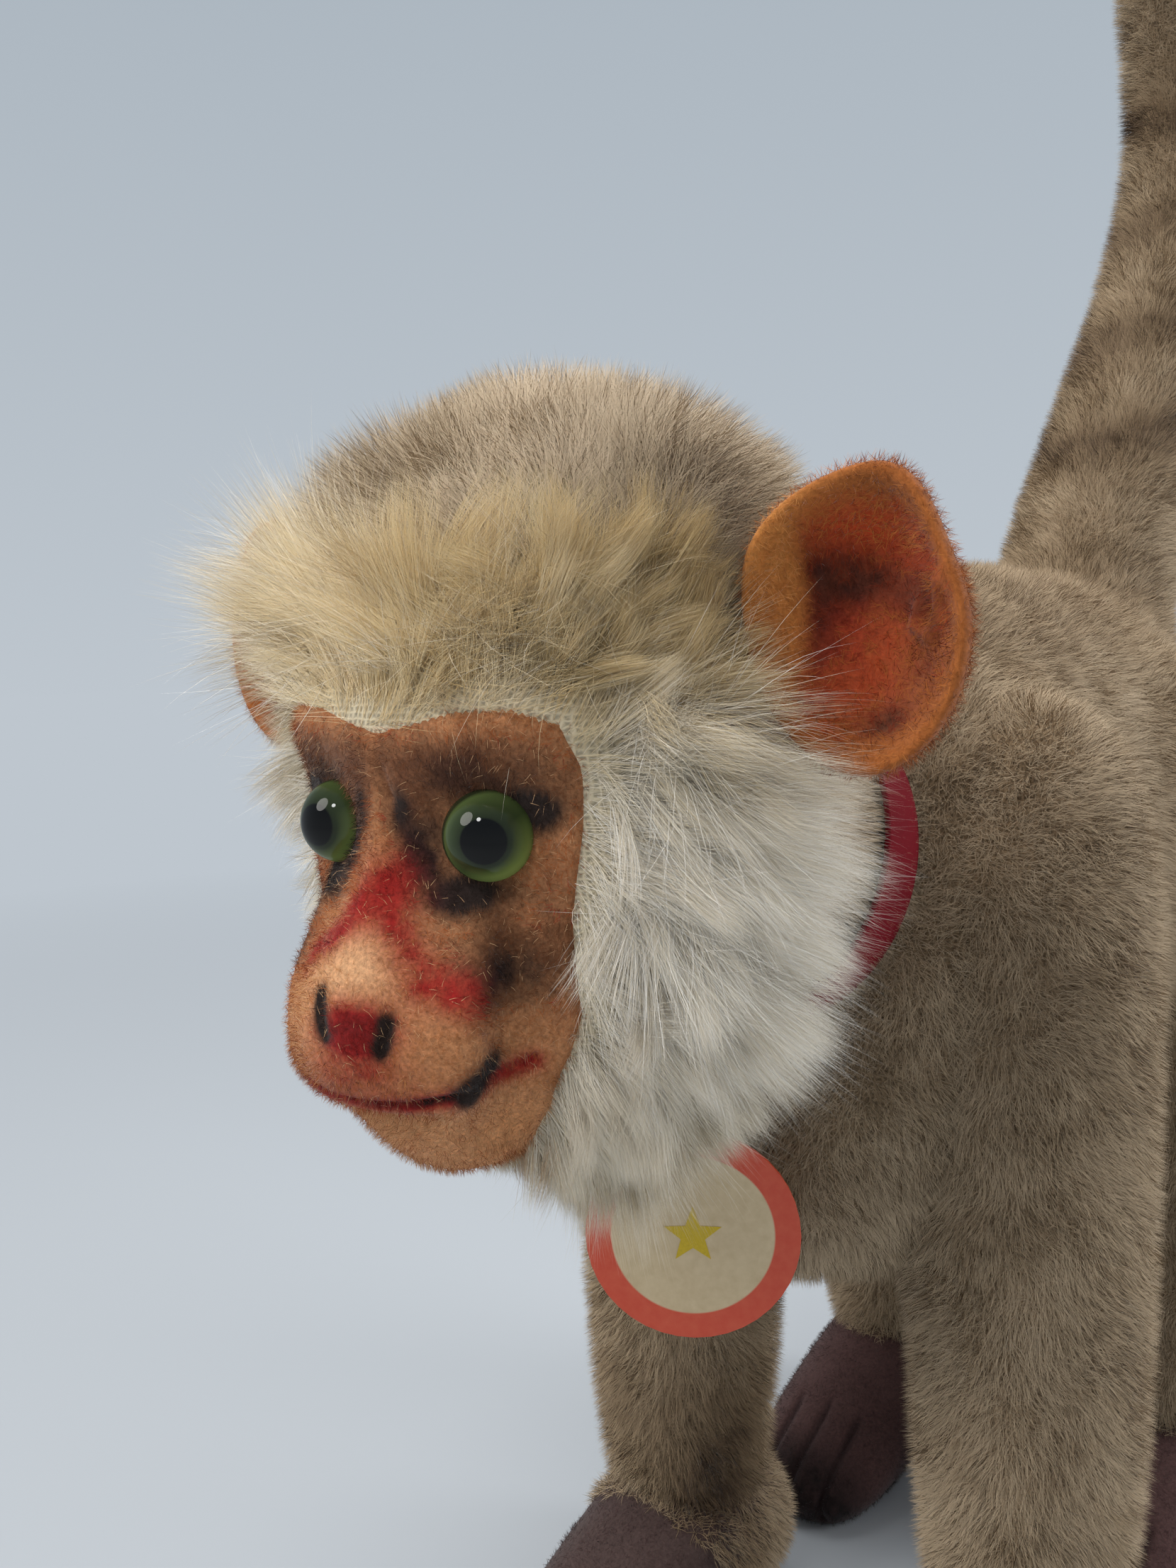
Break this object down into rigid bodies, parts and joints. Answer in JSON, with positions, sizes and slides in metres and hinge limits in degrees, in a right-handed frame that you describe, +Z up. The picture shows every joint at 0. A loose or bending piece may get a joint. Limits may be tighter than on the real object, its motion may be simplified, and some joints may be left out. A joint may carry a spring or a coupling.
{
  "type": "stuffed toy baboon",
  "caption": "Standing stuffed mohair baboon with felt face, ears, hands and feet, glass eyes, a turning head, a soft collar and a card chest tag.",
  "frame": {"origin": "on the surface it stands on, under the middle of its bounding box", "axes": "+Z up, the face towards -Y, the baboon's left side at +X"},
  "size_m": [0.115, 0.2816, 0.3449],
  "materials": {
    "mohair": "short taupe mohair pile",
    "long_mohair": "long white and straw mohair pile",
    "crown_mohair": "short beige mohair pile",
    "face_felt": "tan felt, airbrushed",
    "ear_felt": "orange felt, airbrushed",
    "foot_felt": "mauve brown felt",
    "wood_wool": "packed wood wool",
    "eye_glass": "polished green glass",
    "black_glass": "polished black glass",
    "steel": "plain steel",
    "fibre_board": "pressed board",
    "collar_cloth": "smooth crimson cloth",
    "brass": "plain brass",
    "tag_card": "printed card",
    "thread": "plain cotton thread"
  },
  "bodies": {
    "body": {"body_cover": "mohair", "body_stuffing": "wood_wool", "front_leg_left": "mohair", "front_leg_right": "mohair", "hind_leg_left": "mohair", "hind_leg_right": "mohair", "hand_left": "foot_felt", "hand_right": "foot_felt", "foot_left": "foot_felt", "foot_right": "foot_felt", "tail": "mohair", "front_legs_wire": "steel", "hind_legs_wire": "steel", "tail_wire": "steel", "neck_disc_body": "fibre_board", "washer_body": "steel"},
    "head": {"head_cover": "crown_mohair", "head_stuffing": "wood_wool", "face_mask": "face_felt", "forehead_band": "long_mohair", "cheek_ruff_left": "long_mohair", "cheek_ruff_right": "long_mohair", "ear_left": "ear_felt", "ear_right": "ear_felt", "eye_left": "eye_glass", "eye_right": "eye_glass", "pupil_left": "black_glass", "pupil_right": "black_glass", "eye_wire_left": "steel", "eye_wire_right": "steel", "neck_disc_head": "fibre_board", "washer_head": "steel", "split_pin": "steel"},
    "collar": {"collar_strap": "collar_cloth", "collar_rivet": "brass"},
    "tag_loop": {"tag_thread": "thread"},
    "tag": {"chest_tag": "tag_card"}
  },
  "joints": [
    {"name": "head_turn", "type": "hinge", "parent": "body", "child": "head", "pos_m": [0, -0.07618, 0.1563], "axis": [0, -0.9511, 0.309], "continuous": true},
    {"name": "collar_turn", "type": "hinge", "parent": "body", "child": "collar", "pos_m": [0, -0.06192, 0.15166], "axis": [0, -0.9511, 0.309], "continuous": true},
    {"name": "loop_flap", "type": "hinge", "parent": "body", "child": "tag_loop", "pos_m": [0.0045, -0.0823, 0.13233], "axis": [-0.8192, -0.5736, 0], "range_deg": [0, 50]},
    {"name": "tag_swing", "type": "hinge", "parent": "tag_loop", "child": "tag", "pos_m": [0.0045, -0.0823, 0.113], "axis": [0.5736, -0.8192, 0], "range_deg": [-40, 40]}
  ]
}
